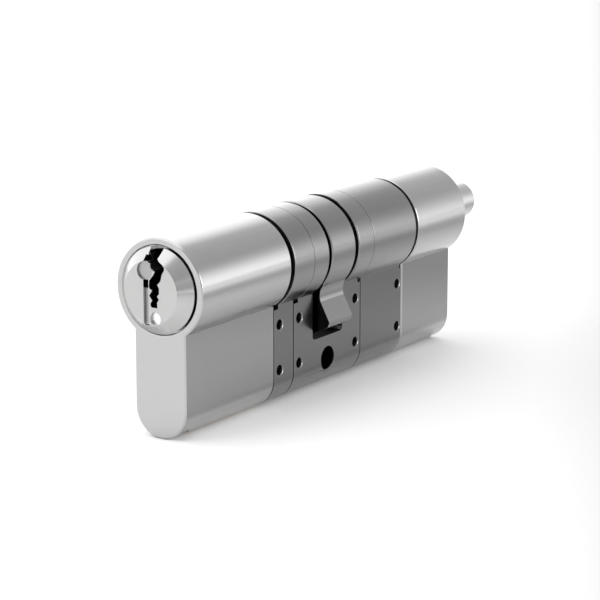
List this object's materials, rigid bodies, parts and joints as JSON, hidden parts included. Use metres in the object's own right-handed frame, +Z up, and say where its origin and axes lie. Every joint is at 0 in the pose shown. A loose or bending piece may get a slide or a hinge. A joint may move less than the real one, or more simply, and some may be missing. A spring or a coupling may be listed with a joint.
{
  "type": "modular euro profile lock cylinder",
  "caption": "Modular Euro profile pin tumbler cylinder with a keyed plug, a driven cam and a bare knob spindle; it works the bolt of a mortice door lock.",
  "frame": {"origin": "centre of the fixing screw hole, in the middle of the flange's width, under the middle of the cam slot", "axes": "+X along the cylinder from the key side to the knob side, +Y across the flange along the fixing screw hole, +Z up from the flange to the turning axis, which is 19.2 mm above the origin"},
  "size_m": [0.0996, 0.017, 0.033],
  "materials": {
    "satin_nickel": "satin nickel plate on brass",
    "plug_nickel": "fine-turned satin nickel plate on brass",
    "dark_nickel": "ground and blasted steel, darker satin",
    "cam_steel": "sintered steel, satin nickel",
    "spindle_steel": "bright turned steel",
    "turned_steel": "turned steel",
    "hard_steel": "hardened ground steel",
    "pin_steel": "bright hardened steel",
    "spring_steel": "drawn spring steel",
    "brass": "turned brass"
  },
  "bodies": {
    "housing": {"front_body": "satin_nickel", "short_extension": "dark_nickel", "bridge": "dark_nickel", "long_extension": "dark_nickel", "rear_body": "satin_nickel", "joint_pins": "pin_steel", "chamber_plugs": "brass", "body_drill_pins": "hard_steel", "spring_1": "spring_steel", "spring_2": "spring_steel", "spring_3": "spring_steel", "spring_4": "spring_steel", "spring_5": "spring_steel", "spring_6": "spring_steel"},
    "core": {"plug": "plug_nickel", "nose_plate": "hard_steel", "nose_pin_low": "pin_steel", "nose_pin_high": "hard_steel", "plug_clip": "spring_steel", "front_link": "turned_steel"},
    "clutch": {"coupler": "turned_steel", "pusher": "brass"},
    "cam_drive": {"cam": "cam_steel", "drive_key": "turned_steel", "coupler_spring": "spring_steel", "rear_link": "turned_steel", "knob_spindle": "spindle_steel", "spindle_clip": "spring_steel"},
    "key_pin_1": {"key_pin_1": "brass"},
    "driver_pin_1": {"driver_pin_1": "turned_steel"},
    "key_pin_2": {"key_pin_2": "brass"},
    "driver_pin_2": {"driver_pin_2": "turned_steel"},
    "key_pin_3": {"key_pin_3": "brass"},
    "driver_pin_3": {"driver_pin_3": "turned_steel"},
    "key_pin_4": {"key_pin_4": "brass"},
    "driver_pin_4": {"driver_pin_4": "turned_steel"},
    "key_pin_5": {"key_pin_5": "brass"},
    "driver_pin_5": {"driver_pin_5": "turned_steel"},
    "key_pin_6": {"key_pin_6": "brass"},
    "driver_pin_6": {"driver_pin_6": "turned_steel"}
  },
  "joints": [
    {"name": "plug_turn", "type": "hinge", "parent": "housing", "child": "core", "pos_m": [0, 0, 0.0192], "axis": [1, 0, 0], "continuous": true},
    {"name": "cam_turn", "type": "hinge", "parent": "housing", "child": "cam_drive", "pos_m": [0, 0, 0.0192], "axis": [1, 0, 0], "continuous": true},
    {"name": "clutch_slide", "type": "slide", "parent": "core", "child": "clutch", "axis": [1, 0, 0], "range_m": [-0.0022, 0]},
    {"name": "key_pin_1_lift", "type": "slide", "parent": "core", "child": "key_pin_1", "axis": [0, 0, 1], "range_m": [0, 0.00295]},
    {"name": "key_pin_2_lift", "type": "slide", "parent": "core", "child": "key_pin_2", "axis": [0, 0, 1], "range_m": [0, 0.00175]},
    {"name": "key_pin_3_lift", "type": "slide", "parent": "core", "child": "key_pin_3", "axis": [0, 0, 1], "range_m": [0, 0.00335]},
    {"name": "key_pin_4_lift", "type": "slide", "parent": "core", "child": "key_pin_4", "axis": [0, 0, 1], "range_m": [0, 0.00235]},
    {"name": "key_pin_5_lift", "type": "slide", "parent": "core", "child": "key_pin_5", "axis": [0, 0, 1], "range_m": [0, 0.00155]},
    {"name": "key_pin_6_lift", "type": "slide", "parent": "core", "child": "key_pin_6", "axis": [0, 0, 1], "range_m": [0, 0.00305]},
    {"name": "driver_pin_1_drop", "type": "slide", "parent": "housing", "child": "driver_pin_1", "axis": [0, 0, -1], "range_m": [0, 0.003], "stiffness_N_per_m": 200, "springref_m": -0.002, "deforming": ["spring_1"]},
    {"name": "driver_pin_2_drop", "type": "slide", "parent": "housing", "child": "driver_pin_2", "axis": [0, 0, -1], "range_m": [0, 0.003], "stiffness_N_per_m": 200, "springref_m": -0.002, "deforming": ["spring_2"]},
    {"name": "driver_pin_3_drop", "type": "slide", "parent": "housing", "child": "driver_pin_3", "axis": [0, 0, -1], "range_m": [0, 0.003], "stiffness_N_per_m": 200, "springref_m": -0.002, "deforming": ["spring_3"]},
    {"name": "driver_pin_4_drop", "type": "slide", "parent": "housing", "child": "driver_pin_4", "axis": [0, 0, -1], "range_m": [0, 0.003], "stiffness_N_per_m": 200, "springref_m": -0.002, "deforming": ["spring_4"]},
    {"name": "driver_pin_5_drop", "type": "slide", "parent": "housing", "child": "driver_pin_5", "axis": [0, 0, -1], "range_m": [0, 0.003], "stiffness_N_per_m": 200, "springref_m": -0.002, "deforming": ["spring_5"]},
    {"name": "driver_pin_6_drop", "type": "slide", "parent": "housing", "child": "driver_pin_6", "axis": [0, 0, -1], "range_m": [0, 0.003], "stiffness_N_per_m": 200, "springref_m": -0.002, "deforming": ["spring_6"]}
  ],
  "couplings": [
    {"joint": "cam_turn", "follows": "plug_turn", "ratio": 1}
  ]
}
